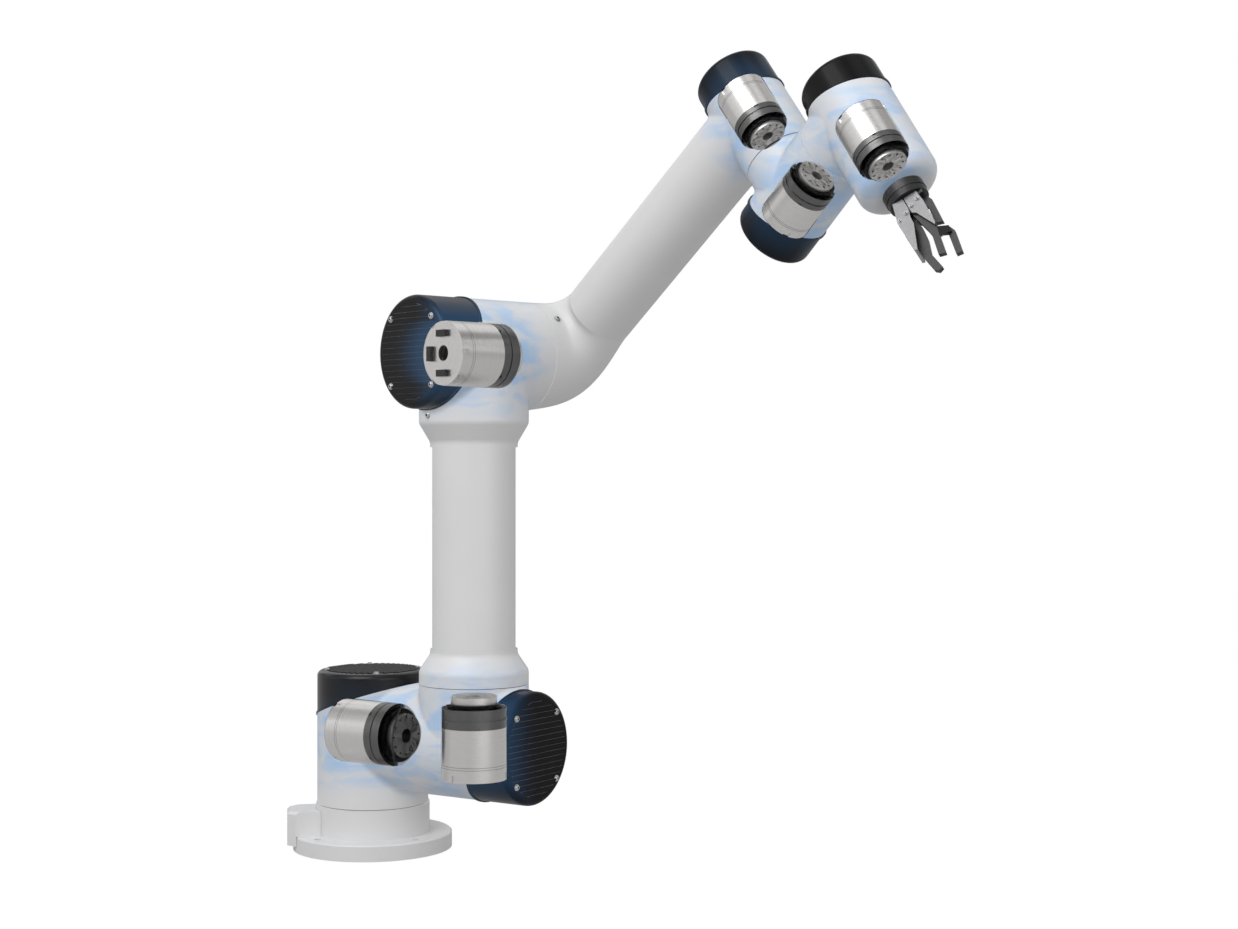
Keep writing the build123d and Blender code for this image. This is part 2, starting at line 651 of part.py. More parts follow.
# Tool flange and gripper: X runs across the fingers, Y from the back plate to the front plate
tool_place = wrist_3_place * Rot(0, 0, TOOL_TURN)
tool_face = small_drive.length - WRIST_3_DRIVE_BACK
tool_low = WRIST_3_FRONT + SEAM_GAP
tool_flange = disc(small_drive.flange, tool_face, tool_low) + disc(TOOL_RADIUS, tool_low, TOOL_TOP)
tool_flange -= disc(small_drive.bore, tool_face - 1, TOOL_TOP + 1)
parts["tool_flange"] = tool_place * tool_flange

pin_bore = PIN_RADIUS + PIN_CLEARANCE
cheek_in = PALM_BLOCK_HALF_DEPTH
cheek_out = PALM_BLOCK_HALF_DEPTH + CHEEK_THICKNESS


def flat_bar(points, low, high):
    """A flat bar of the outline given as (across, along) points, from depth low to depth high."""
    outline = Plane.XZ * make_face(Polyline(*points, close=True))
    return Pos(0, high, 0) * extrude(outline, high - low)


def pin_hole(pivot, radius):
    """A round hole or pin right through the gripper at a pivot."""
    return Pos(pivot[0], 0, pivot[1]) * Rot(90, 0, 0) * Cylinder(radius, 60)


palm = disc(PALM_RADIUS, TOOL_TOP, PALM_TOP)
palm += block(
    (-PALM_BLOCK_HALF_WIDTH, -PALM_BLOCK_HALF_DEPTH, PALM_TOP - 1),
    (PALM_BLOCK_HALF_WIDTH, PALM_BLOCK_HALF_DEPTH, PALM_BLOCK_TOP),
)
parts["gripper_palm"] = tool_place * palm

left_cheek = (
    (-14, CHEEK_START), (-4, CHEEK_START), (-3.7, 120.7), (-6, 130.5), (-6.2, 137),
    (-15, 162.5), (-17.6, 161.4), (-18.7, 129),
)
right_cheek = (
    (-2.9, CHEEK_START), (9.8, CHEEK_START), (11.2, 121.6), (10.5, 147), (9, 149),
    (0.5, 129.1), (-2.9, 126.6),
)
cheeks = []
for outline, pivots in ((left_cheek, (THUMB_PIVOT,)), (right_cheek, (FORK_PIVOT, LINK_PIVOT))):
    for low, high in ((cheek_in, cheek_out), (-cheek_out, -cheek_in)):
        cheek = flat_bar(outline, low, high)
        for pivot in pivots:
            cheek -= pin_hole(pivot, pin_bore)
        cheeks.append(cheek)
parts["gripper_cheeks"] = tool_place * Compound(children=cheeks)
pins = [
    Pos(pivot[0], 0, pivot[1]) * Rot(90, 0, 0) * Cylinder(PIN_RADIUS, 2 * cheek_out + 1)
    for pivot in (THUMB_PIVOT, FORK_PIVOT, LINK_PIVOT)
]
parts["gripper_pins"] = tool_place * Compound(children=pins)


def strut(start, end, width, height):
    """A bar of box section between two points."""
    way = end - start
    frame = Plane(origin=start, x_dir=(0, 0, 1), z_dir=way)
    return extrude(frame * Rectangle(height, width), way.length)


def knuckle(pivot, radius, low, high):
    """The round eye of a finger or link on its pin, from depth low to depth high."""
    eye = Rot(90, 0, 0) * Cylinder(radius, high - low)
    return Pos(pivot[0], (low + high) / 2, pivot[1]) * eye


fork_edge = FINGER_SPREAD + FINGER_THICKNESS / 2
fork_inner = FINGER_SPREAD - FINGER_THICKNESS / 2
fork_arm = (
    (-2.5, 124), (4, 121), (9.7, 145), (9.7, 150), (8.3, 157), (4.8, 178),
    (-1.5, 176), (2.2, 156), (1.5, 150), (-3, 129),
)
fork_prong = ((14.5, 147), (18.4, 146), (21.6, 154.3), (17.9, 177), (12, 176), (15.4, 153))
fork = flat_bar(fork_arm, fork_inner, fork_edge)
fork += flat_bar(fork_prong, -fork_edge, -fork_inner)
bar_height, bar_width = CROSSBAR_SECTION
bar_start = Vector(6, fork_inner + 1, CROSSBAR_ALONG)
bar_end = Vector(17.5, -fork_inner - 1, CROSSBAR_ALONG)
fork += strut(bar_start, bar_end, bar_width, bar_height)
fork += knuckle(FORK_PIVOT, KNUCKLE_RADIUS, fork_inner, fork_edge)
parts["fork_finger"] = tool_place * (fork - pin_hole(FORK_PIVOT, pin_bore))

half_finger = FINGER_THICKNESS / 2
half_knuckle = half_finger + KNUCKLE_PROUD
thumb_bar = (
    (-12.5, 124), (-3.5, 127), (-1.5, 139.4), (-2.5, 152), (-6.7, 167.4), (-3.8, 184.5),
    (-8.2, 186), (-11.3, 183), (-14.5, 163), (-15, 150),
)
thumb = flat_bar(thumb_bar, -half_finger, half_finger)
thumb += knuckle(THUMB_PIVOT, KNUCKLE_RADIUS, -half_knuckle, half_knuckle)
parts["thumb_finger"] = tool_place * (thumb - pin_hole(THUMB_PIVOT, pin_bore))

link_bar = ((4, 115), (8, 113), (16.5, 114.5), (18.4, 119), (17, 144.5), (10.5, 142), (12, 123), (6, 120))
link = flat_bar(link_bar, -half_finger, half_finger)
link += knuckle(LINK_PIVOT, LINK_KNUCKLE_RADIUS, -half_knuckle, half_knuckle)
parts["fork_link"] = tool_place * (link - pin_hole(LINK_PIVOT, pin_bore))

for name, part in parts.items():
    part.label = name

os.makedirs("parts", exist_ok=True)
for name, part in parts.items():
    export_step(part, os.path.join("parts", name + ".step"))
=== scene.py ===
import json
import math

import bmesh
import bpy
from mathutils import Matrix, Vector
from mathutils.bvhtree import BVHTree


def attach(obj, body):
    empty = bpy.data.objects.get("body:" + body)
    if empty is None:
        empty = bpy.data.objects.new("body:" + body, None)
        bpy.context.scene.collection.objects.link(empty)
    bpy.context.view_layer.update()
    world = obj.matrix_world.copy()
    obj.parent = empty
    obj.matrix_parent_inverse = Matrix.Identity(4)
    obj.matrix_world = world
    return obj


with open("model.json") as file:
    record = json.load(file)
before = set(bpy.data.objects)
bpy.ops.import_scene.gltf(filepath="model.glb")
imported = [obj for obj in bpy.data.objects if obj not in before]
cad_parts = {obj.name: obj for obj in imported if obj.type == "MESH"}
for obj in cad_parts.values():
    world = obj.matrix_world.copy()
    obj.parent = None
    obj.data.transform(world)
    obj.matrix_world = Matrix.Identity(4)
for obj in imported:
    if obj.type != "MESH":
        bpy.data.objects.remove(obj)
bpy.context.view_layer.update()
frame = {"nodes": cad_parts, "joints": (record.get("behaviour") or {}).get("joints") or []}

# Robot arm whose drive modules show through clear windows in its painted casings
MM = 0.001
UP = Vector((0, 0, 1))
# A direction that lies along none of the arm's axes
ODD_SIDE = Vector((0.3, 0.2, 1))
nodes = frame["nodes"]
joints = {joint["name"]: joint for joint in frame["joints"]}

# The photograph's viewing position, from its level camera
CAMERA_PLACE = Vector((270.6, -2090.0, 419.6)) * MM
PHOTO_WIDTH = 1238
PHOTO_HEIGHT = 929
PHOTO_FOCAL_PIXELS = 1900
SENSOR_WIDTH = 36.0
CAMERA_REACH = 50.0


def joint_place(name):
    """The point on a joint's axis that the record gives."""
    return Vector(joints[name]["pos_m"])


def joint_axis(name, sign):
    """A joint's axis, turned round when sign is -1."""
    return Vector(joints[name]["axis"]).normalized() * sign


def span(node, origin, axis, beyond=0.0):
    """How far a node reaches along an axis from origin, low then high, and its largest radius.
    Only what lies further than beyond from the axis counts towards the reach."""
    places = [vertex.co - origin for vertex in nodes[node].data.vertices]
    reach = [(place.dot(axis), (place - axis * place.dot(axis)).length) for place in places]
    along = [height for height, radius in reach if radius > beyond]
    return min(along), max(along), max(radius for _, radius in reach)


def frame_matrix(origin, axis, side):
    """The matrix of a frame with +Z along axis and +X as near to side as it can be."""
    z = axis.normalized()
    x = (side - z * side.dot(z)).normalized()
    y = z.cross(x)
    turn = Matrix((x, y, z)).transposed().to_4x4()
    return Matrix.Translation(origin) @ turn


# Points further out than this share of a drive's radius lie on its rim
RIM_SHARE = 0.97


class Drive:
    """One drive module: where its pieces lie along its axis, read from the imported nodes."""

    def __init__(self, name, joint, sign=1):
        self.name = name
        self.origin = joint_place(joint)
        self.axis = joint_axis(joint, sign)
        self.radius = self.span("motor_shell")[2]
        self.plate = self.span("rear_cover", self.radius * RIM_SHARE)[0]
        self.shoulder = self.span("gear_ring", self.radius * RIM_SHARE)[1]
        _, self.top, self.flange = self.span("output")

    def span(self, piece, beyond=0.0):
        """How far one of the drive's pieces reaches along its axis, and its largest radius."""
        return span(self.node(piece), self.origin, self.axis, beyond)

    def node(self, piece):
        """The name of the node of one of the drive's pieces."""
        return self.name + "_drive_" + piece


drives = {
    drive.name: drive
    for drive in (
        Drive("yaw", "base_yaw"),
        Drive("shoulder", "shoulder_pitch", -1),
        Drive("roll", "upper_arm_roll"),
        Drive("elbow", "elbow_pitch"),
        Drive("wrist_1", "wrist_1_turn"),
        Drive("wrist_2", "wrist_2_turn"),
        Drive("wrist_3", "wrist_3_turn"),
    )
}
shoulder_way = drives["shoulder"].axis
elbow_way = drives["elbow"].axis
wrist_1_way = drives["wrist_1"].axis
wrist_2_way = drives["wrist_2"].axis
wrist_3_way = drives["wrist_3"].axis
forearm_way = wrist_1_way.cross(elbow_way)


# Shader helpers


def new_group(name, inputs, outputs):
    """An empty shader node group with named sockets."""
    group = bpy.data.node_groups.new(name, "ShaderNodeTree")
    for label, kind, value in inputs:
        socket = group.interface.new_socket(name=label, in_out="INPUT", socket_type=kind)
        socket.default_value = value
    for label in outputs:
        group.interface.new_socket(name=label, in_out="OUTPUT", socket_type="NodeSocketFloat")
    return group, group.nodes.new("NodeGroupInput"), group.nodes.new("NodeGroupOutput")


def feed(tree, value, socket):
    """Links a node's output to a socket, or sets the socket to a plain value."""
    if isinstance(value, bpy.types.NodeSocket):
        tree.links.new(value, socket)
    else:
        socket.default_value = value


def math_node(tree, operation, a, b=None, c=None, clamp=False):
    """One maths node with its inputs linked or set."""
    node = tree.nodes.new("ShaderNodeMath")
    node.operation = operation
    node.use_clamp = clamp
    for value, socket in zip((a, b, c), node.inputs):
        if value is not None:
            feed(tree, value, socket)
    return node.outputs[0]


def vector_node(tree, operation, a, b=None):
    """One vector maths node: its value output for dot products and lengths, else its vector."""
    node = tree.nodes.new("ShaderNodeVectorMath")
    node.operation = operation
    for value, socket in zip((a, b), node.inputs):
        if value is not None:
            feed(tree, value, socket)
    return node.outputs["Value" if operation in ("DOT_PRODUCT", "LENGTH") else "Vector"]


def ramp_node(tree, value, low, high, to_low=0.0, to_high=1.0):
    """A smooth change from to_low to to_high while value goes from low to high."""
    node = tree.nodes.new("ShaderNodeMapRange")
    node.interpolation_type = "SMOOTHSTEP"
    feed(tree, value, node.inputs["Value"])
    for label, number in (
        ("From Min", low),
        ("From Max", high),
        ("To Min", to_low),
        ("To Max", to_high),
    ):
        feed(tree, number, node.inputs[label])
    return node.outputs["Result"]


def mix_colour(tree, factor, a, b):
    """A colour between a and b."""
    node = tree.nodes.new("ShaderNodeMix")
    node.data_type = "RGBA"
    for label, value in (("Factor", factor), ("A", a), ("B", b)):
        feed(tree, value, node.inputs[label])
    return node.outputs["Result"]


def noise_node(tree, point, scale, detail=2.0, distortion=0.0):
    """A noise from 0 to 1 at a point."""
    node = tree.nodes.new("ShaderNodeTexNoise")
    for label, value in (
        ("Vector", point),
        ("Scale", scale),
        ("Detail", detail),
        ("Distortion", distortion),
    ):
        feed(tree, value, node.inputs[label])
    return node.outputs["Fac"]


def use_group(tree, group, **values):
    """A group node with its inputs linked or set; spaces in their names are underscores here."""
    node = tree.nodes.new("ShaderNodeGroup")
    node.node_tree = group
    for label, value in values.items():
        feed(tree, value, node.inputs[label.replace("_", " ")])
    return node


def set_shader(shader, **values):
    """Sets a shader's own sockets; spaces in their names are underscores here."""
    for label, value in values.items():
        shader.inputs[label.replace("_", " ")].default_value = value


# Windows: soft edges in metres, each from where a mask is 0 to where it is 1
COVER_EDGE = (0.0009, 0.0001)
FRONT_EDGE = (0.002, -0.004)
END_EDGE = (-0.002, 0.0)
WALL_EDGE = (0.003, 0.0015)
FADING_EDGE = (0.03, 0.0)
ZONE_EDGE = (0.0, 0.01)


def cylinder_edge(group, given, along, across, name):
    """How far a point lies beyond the outline of one cylinder of a drive, negative inside it,
    and half the cylinder's thickness there."""
    radius = given.outputs[name + " radius"]
    square = math_node(group, "MULTIPLY", radius, radius)
    square = math_node(group, "SUBTRACT", square, math_node(group, "MULTIPLY", across, across))
    chord = math_node(group, "SQRT", math_node(group, "MAXIMUM", square, 0.0))
    reach = math_node(group, "MULTIPLY_ADD", chord, given.outputs["Sine"], given.outputs[name + " half"])
    offset = math_node(group, "SUBTRACT", along, given.outputs[name + " middle"])
    ahead = math_node(group, "SUBTRACT", math_node(group, "ABSOLUTE", offset), reach)
    beside = math_node(group, "SUBTRACT", math_node(group, "ABSOLUTE", across), radius)
    return math_node(group, "MAXIMUM", ahead, beside), chord


def window_group():
    """Where a casing lies in front of a drive, seen from the photograph's viewing position.
    Cover is 1 there and 0 elsewhere. Edge is the distance beyond the drive's outline, in metres.
    Front is 1 on the viewer's side of the drive and fades behind it.
    Near is 1 around the drive on every side."""
    vectors = ["Point", "Eye", "Origin", "Along", "Across", "Depth", "Facing"]
    numbers = ["Sine", "Lean", "Slant", "Low", "High", "End", "Zone"]
    numbers += [part + size for part in ("Body ", "Boss ") for size in ("middle", "half", "radius")]
    group, given, out = new_group(
        "Drive window",
        [(name, "NodeSocketVector", (0, 0, 0)) for name in vectors]
        + [(name, "NodeSocketFloat", 0.0) for name in numbers],
        ["Cover", "Edge", "Front", "Near"],
    )
    point, eye, origin = (given.outputs[name] for name in ("Point", "Eye", "Origin"))
    depth_way = given.outputs["Depth"]

    # The point, moved along its line of sight to the plane that faces the viewer at the origin
    ray_depth = vector_node(group, "DOT_PRODUCT", vector_node(group, "SUBTRACT", point, eye), depth_way)
    distance = vector_node(group, "LENGTH", vector_node(group, "SUBTRACT", origin, eye))
    scale = math_node(group, "DIVIDE", distance, ray_depth)
    offset = vector_node(group, "SUBTRACT", point, origin)
    along, across = (
        math_node(group, "MULTIPLY", vector_node(group, "DOT_PRODUCT", offset, given.outputs[way]), scale)
        for way in ("Along", "Across")
    )
    body, thickness = cylinder_edge(group, given, along, across, "Body")
    boss, _ = cylinder_edge(group, given, along, across, "Boss")
    edge = math_node(group, "MINIMUM", body, boss)

    # How far the point lies behind the drive's middle plane, and beyond its nearer end
    along = vector_node(group, "DOT_PRODUCT", offset, given.outputs["Along"])
    along = math_node(group, "MAXIMUM", along, given.outputs["Low"])
    along = math_node(group, "MINIMUM", along, given.outputs["High"])
    middle = math_node(group, "MULTIPLY", along, given.outputs["Lean"])
    behind = math_node(group, "SUBTRACT", vector_node(group, "DOT_PRODUCT", offset, depth_way), middle)
    ahead = vector_node(group, "DOT_PRODUCT", offset, given.outputs["Facing"])
    ahead = ramp_node(group, math_node(group, "SUBTRACT", ahead, given.outputs["End"]), *END_EDGE)
    past = math_node(group, "MULTIPLY", thickness, given.outputs["Slant"])
    past = math_node(group, "SUBTRACT", behind, past)

    def viewer_side(wall_edge, middle_edge):
        """1 on the viewer's side of the drive, with these soft edges."""
        before_end = math_node(group, "MULTIPLY", ahead, ramp_node(group, past, *wall_edge))
        return math_node(group, "MAXIMUM", before_end, ramp_node(group, behind, *middle_edge))

    cover = ramp_node(group, edge, *COVER_EDGE)
    cover = math_node(group, "MULTIPLY", cover, viewer_side(WALL_EDGE, FRONT_EDGE))
    around = math_node(group, "SUBTRACT", given.outputs["Zone"], vector_node(group, "LENGTH", offset))
    feed(group, cover, out.inputs["Cover"])
    feed(group, edge, out.inputs["Edge"])
    feed(group, viewer_side(FADING_EDGE, FADING_EDGE), out.inputs["Front"])
    feed(group, ramp_node(group, around, *ZONE_EDGE), out.inputs["Near"])
    return group


# Grains, in waves to the metre
TONE_SCALE = 14.0
TONE_DETAIL = 4.0
LATHE_SCALE = 2500.0
LATHE_DETAIL = 3.0
STAIN_SCALE = 30.0
STAIN_SHARE = 0.15


def grain_group():
    """A fine even height and a slow tone change, for paint, plastic and plain metal."""
    group, given, out = new_group(
        "Fine grain",
        [("Point", "NodeSocketVector", (0, 0, 0)), ("Scale", "NodeSocketFloat", 0.0)],
        ["Height", "Tone"],
    )
    point = given.outputs["Point"]
    feed(group, noise_node(group, point, given.outputs["Scale"]), out.inputs["Height"])
    feed(group, noise_node(group, point, TONE_SCALE, TONE_DETAIL), out.inputs["Tone"])
    return group


def turned_group():
    """Lathe marks round an axis: a height and a shade that change along it and outwards from it.
    Along is the distance along the axis, in metres."""
    group, given, out = new_group(
        "Turned marks",
        [(name, "NodeSocketVector", (0, 0, 0)) for name in ("Point", "Origin", "Axis")],
        ["Height", "Shade", "Along"],
    )
    offset = vector_node(group, "SUBTRACT", given.outputs["Point"], given.outputs["Origin"])
    along = vector_node(group, "DOT_PRODUCT", offset, given.outputs["Axis"])
    away = vector_node(group, "CROSS_PRODUCT", offset, given.outputs["Axis"])
    place = group.nodes.new("ShaderNodeCombineXYZ")
    feed(group, along, place.inputs["X"])
    feed(group, vector_node(group, "LENGTH", away), place.inputs["Y"])
    marks = noise_node(group, place.outputs[0], LATHE_SCALE, LATHE_DETAIL)
    stains = noise_node(group, given.outputs["Point"], STAIN_SCALE)
    shade = math_node(group, "MULTIPLY", stains, STAIN_SHARE)
    shade = math_node(group, "MULTIPLY_ADD", marks, 1 - STAIN_SHARE, shade)
    feed(group, along, out.inputs["Along"])
    feed(group, marks, out.inputs["Height"])
    feed(group, shade, out.inputs["Shade"])
    return group


WINDOW = window_group()
GRAIN = grain_group()
TURNED = turned_group()

# Materials: heights and distances in metres
ZONE_BEYOND = 0.09
# How far the painted blue glow reaches past a drive's outline
GLOW_REACH = 0.042
PAINT_LIGHT = (0.80, 0.80, 0.805, 1)
PAINT_SHADE = (0.74, 0.74, 0.75, 1)
PAINT_GRAIN = 900.0
PAINT_PEEL = 0.00004
# Painted glow on the casings: its pale blue, its strength, and the long streaks it lies in
PAINTED_GLOW_BLUE = (0.36, 0.60, 0.93, 1)
PAINTED_GLOW_STRENGTH = 0.8
STREAK_TURN = (0.5, 0.6, 0.3)
STREAK_STRETCH = (0.35, 1.0, 1.6)
STREAK_SCALE = 38.0
STREAK_DETAIL = 3.0
STREAK_DISTORTION = 0.6
STREAK_EDGE = (0.38, 0.66)
STREAK_LEAST = 0.22
# Painted rim light: a pale blue tint where the casings turn away from the viewer
PAINTED_RIM_LIGHT = (0.30, 0.44, 0.62, 1)
RIM_EDGE = (0.80, 0.97)
RIM_MOST = 0.5
RIM_BLEND = 0.5
CAP_BLACK = (0.004, 0.004, 0.005, 1)
CAP_WORN = (0.007, 0.007, 0.008, 1)
# Painted glow on the caps: deep blue towards the drive, falling off by the power below
CAP_PAINTED_GLOW = (0.020, 0.060, 0.125, 1)
CAP_FALL_OFF = 2.0
CAP_GRAIN = 1400.0
METAL_GRAIN = 1200.0
FINE_BUMP = 0.00002
LATHE_BUMP = 0.00003
SEAM_HALF = 0.0003
SEAM_COLOUR = (0.05, 0.05, 0.05, 1)
SEAM_SHARE = 0.8
# How roughness follows a pattern: the pattern's range, then the shares of the plain roughness
LATHE_RANGE = (0.2, 0.8)
LATHE_ROUGHEST = 1.25
LATHE_SMOOTHEST = 0.8
GRAIN_RANGE = (0.3, 0.7)
GRAIN_SMOOTHEST = 0.85
GRAIN_ROUGHEST = 1.15


def new_material(name):
    """A material with its Principled shader, and the object-space point that its patterns read."""
    material = bpy.data.materials.new(name)
    material.use_nodes = True
    tree = material.node_tree
    point = tree.nodes.new("ShaderNodeTexCoord").outputs["Object"]
    return material, tree, tree.nodes["Principled BSDF"], point


def bump(tree, shader, height, distance):
    """A height pattern on a shader's normal."""
    node = tree.nodes.new("ShaderNodeBump")
    feed(tree, distance, node.inputs["Distance"])
    feed(tree, 1.0, node.inputs["Strength"])
    feed(tree, height, node.inputs["Height"])
    feed(tree, node.outputs["Normal"], shader.inputs["Normal"])


def window_of(tree, point, drive):
    """The window node of one drive, with its outline as the photograph's viewing position sees it."""
    sight = drive.origin - CAMERA_PLACE
    depth = sight.normalized()
    slope = drive.axis.dot(depth)
    flat = drive.axis - depth * slope
    sizes = {}
    for name, low, high, radius in (
        ("Body", drive.plate, drive.shoulder, drive.radius),
        ("Boss", drive.shoulder, drive.top, drive.flange),
    ):
        middle, half = (low + high) / 2, (high - low) / 2
        scale = sight.length / (sight.length + middle * slope)
        sizes[name + "_middle"] = middle * flat.length * scale
        sizes[name + "_half"] = half * flat.length * scale
        sizes[name + "_radius"] = radius * scale
    return use_group(
        tree,
        WINDOW,
        Point=point,
        Eye=CAMERA_PLACE,
        Origin=drive.origin,
        Along=flat.normalized(),
        Across=depth.cross(flat.normalized()),
        Depth=depth,
        Facing=drive.axis if slope < 0 else -drive.axis,
        Sine=abs(slope),
        Lean=slope / flat.length,
        Slant=1 / flat.length,
        Low=drive.plate * flat.length,
        High=drive.top * flat.length,
        End=drive.top if slope < 0 else -drive.plate,
        Zone=(drive.top - drive.plate) / 2 + ZONE_BEYOND,
        **sizes,
    )


def see_through(tree, shader, point, seen):
    """Clears a shader in front of the drives in seen, and lets light in around them.
    Gives how near the outline of a drive is, which sets the painted glow: 1 at it, 0 further than
    GLOW_REACH."""
    cover, near, zone = 0.0, 0.0, 0.0
    for drive in seen:
        window = window_of(tree, point, drive)
        glow = ramp_node(tree, window.outputs["Edge"], GLOW_REACH, 0.0)
        glow = math_node(tree, "MULTIPLY", glow, window.outputs["Front"])
        cover = math_node(tree, "MAXIMUM", cover, window.outputs["Cover"])
        near = math_node(tree, "MAXIMUM", near, glow)
        zone = math_node(tree, "MAXIMUM", zone, window.outputs["Near"])
    seen_directly = tree.nodes.new("ShaderNodeLightPath").outputs["Is Camera Ray"]
    lit = math_node(tree, "MULTIPLY", zone, math_node(tree, "SUBTRACT", 1.0, seen_directly))
    clear = math_node(tree, "MAXIMUM", cover, lit)
    feed(tree, math_node(tree, "SUBTRACT", 1.0, clear, clamp=True), shader.inputs["Alpha"])
    return near


def glow_streaks(tree, point):
    """Long soft patches of painted glow, from STREAK_LEAST to 1, that lean across the arm."""
    stretch = tree.nodes.new("ShaderNodeMapping")
    feed(tree, point, stretch.inputs["Vector"])
    feed(tree, STREAK_TURN, stretch.inputs["Rotation"])
    feed(tree, STREAK_STRETCH, stretch.inputs["Scale"])
    patches = noise_node(
        tree, stretch.outputs["Vector"], STREAK_SCALE, STREAK_DETAIL, STREAK_DISTORTION
    )
    return ramp_node(tree, patches, *STREAK_EDGE, STREAK_LEAST, 1.0)


def casing_paint(name, seen):
    """Satin white paint, clear in front of the drives in seen, with a pale blue glow painted in streaks
    round each.
    """
    material, tree, shader, point = new_material(name)
    grain = use_group(tree, GRAIN, Point=point, Scale=PAINT_GRAIN)
    colour = mix_colour(tree, grain.outputs["Tone"], PAINT_LIGHT, PAINT_SHADE)
    if seen:
        # Painted glow: pale blue mixed into the paint in streaks near each drive's outline
        glow_amount = math_node(tree, "MULTIPLY", glow_streaks(tree, point), see_through(tree, shader, point, seen))
        glow_amount = math_node(tree, "MULTIPLY", glow_amount, PAINTED_GLOW_STRENGTH)
        colour = mix_colour(tree, glow_amount, colour, PAINTED_GLOW_BLUE)
    # Painted rim light: blue mixed in where the surface is seen at a grazing angle
    rim = tree.nodes.new("ShaderNodeLayerWeight")
    feed(tree, RIM_BLEND, rim.inputs["Blend"])
    rim_light_share = ramp_node(tree, rim.outputs["Facing"], *RIM_EDGE, 0.0, RIM_MOST)
    feed(tree, mix_colour(tree, rim_light_share, colour, PAINTED_RIM_LIGHT), shader.inputs["Base Color"])
    set_shader(shader, Roughness=0.42, Coat_Weight=0.15, Coat_Roughness=0.25)
    bump(tree, shader, grain.outputs["Height"], PAINT_PEEL)
    return material


def cap_plastic(name, seen, glow_amount, shine):
    """Gloss black plastic with a deep blue glow painted in towards the drives in seen, at the given
    share.
    """
    material, tree, shader, point = new_material(name)
    grain = use_group(tree, GRAIN, Point=point, Scale=CAP_GRAIN)
    colour = mix_colour(tree, grain.outputs["Tone"], CAP_BLACK, CAP_WORN)
    # Painted glow: deep blue mixed into the black near the drive
    near = math_node(tree, "POWER", see_through(tree, shader, point, seen), CAP_FALL_OFF)
    colour = mix_colour(tree, math_node(tree, "MULTIPLY", near, glow_amount), colour, CAP_PAINTED_GLOW)
    feed(tree, colour, shader.inputs["Base Color"])
    set_shader(shader, Roughness=0.3, Specular_IOR_Level=shine, Coat_Weight=0.06, Coat_Roughness=0.1)
    bump(tree, shader, grain.outputs["Height"], FINE_BUMP)
    return material


def turned_metal(name, drive, light, dark, roughness, seams=()):
    """Metal with lathe marks round a drive's axis and fine dark seams at some heights on it."""
    material, tree, shader, point = new_material(name)
    marks = use_group(tree, TURNED, Point=point, Origin=drive.origin, Axis=drive.axis)
    colour = mix_colour(tree, marks.outputs["Shade"], dark, light)
    for seam in seams:
        distance = math_node(tree, "SUBTRACT", marks.outputs["Along"], seam)
        line = ramp_node(tree, math_node(tree, "ABSOLUTE", distance), SEAM_HALF, SEAM_HALF / 2)
        colour = mix_colour(tree, math_node(tree, "MULTIPLY", line, SEAM_SHARE), colour, SEAM_COLOUR)
    feed(tree, colour, shader.inputs["Base Color"])
    rough, smooth = roughness * LATHE_ROUGHEST, roughness * LATHE_SMOOTHEST
    gloss = ramp_node(tree, marks.outputs["Shade"], *LATHE_RANGE, rough, smooth)
    feed(tree, gloss, shader.inputs["Roughness"])
    set_shader(shader, Metallic=1.0)
    bump(tree, shader, marks.outputs["Height"], LATHE_BUMP)
    return material


def plain_metal(name, light, dark, roughness, metallic=1.0, seen=()):
    """Metal, rubber or hard plastic with a fine even grain, clear in front of the drives in seen."""
    material, tree, shader, point = new_material(name)
    if seen:
        see_through(tree, shader, point, seen)
    grain = use_group(tree, GRAIN, Point=point, Scale=METAL_GRAIN)
    feed(tree, mix_colour(tree, grain.outputs["Tone"], light, dark), shader.inputs["Base Color"])
    smooth, rough = roughness * GRAIN_SMOOTHEST, roughness * GRAIN_ROUGHEST
    gloss = ramp_node(tree, grain.outputs["Height"], *GRAIN_RANGE, smooth, rough)
    feed(tree, gloss, shader.inputs["Roughness"])
    set_shader(shader, Metallic=metallic)
    bump(tree, shader, grain.outputs["Height"], FINE_BUMP)
    return material


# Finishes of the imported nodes
CRISP = math.radians(24)
# The share of a motor shell's length up to its second seam
SEAM_STEP = 0.06
# Turned metals: their light and dark tones, and their roughness
BRIGHT_STEEL = ((0.80, 0.785, 0.77, 1), (0.62, 0.61, 0.60, 1), 0.30)
DARK_RING = ((0.19, 0.187, 0.185, 1), (0.11, 0.11, 0.11, 1), 0.36)
BLACK_STEP = ((0.02, 0.02, 0.02, 1), (0.012, 0.012, 0.012, 1), 0.42)
GROUND_STEEL = ((0.74, 0.73, 0.72, 1), (0.62, 0.61, 0.60, 1), 0.40)
# Painted shade: a darker copy of the ground steel, for the shoulder drive's flange
SHADED_FLANGE_STEEL = ((0.20, 0.195, 0.19, 1), (0.14, 0.14, 0.14, 1), 0.40)


def paint_node(node, material, second=None, beyond=None):
    """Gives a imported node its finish. Edges sharper than CRISP stay crisp.
    Faces that lie further along an axis than beyond says, as (origin, axis, limit), get second."""
    mesh = nodes[node].data
    if "custom_normal" in mesh.attributes:
        mesh.attributes.remove(mesh.attributes["custom_normal"])
    mesh.shade_smooth()
    mesh.set_sharp_from_angle(angle=CRISP)
    mesh.materials.clear()
    mesh.materials.append(material)
    if second is not None:
        origin, axis, limit = beyond
        mesh.materials.append(second)
        for face in mesh.polygons:
            face.material_index = int((face.center - origin).dot(axis) > limit)


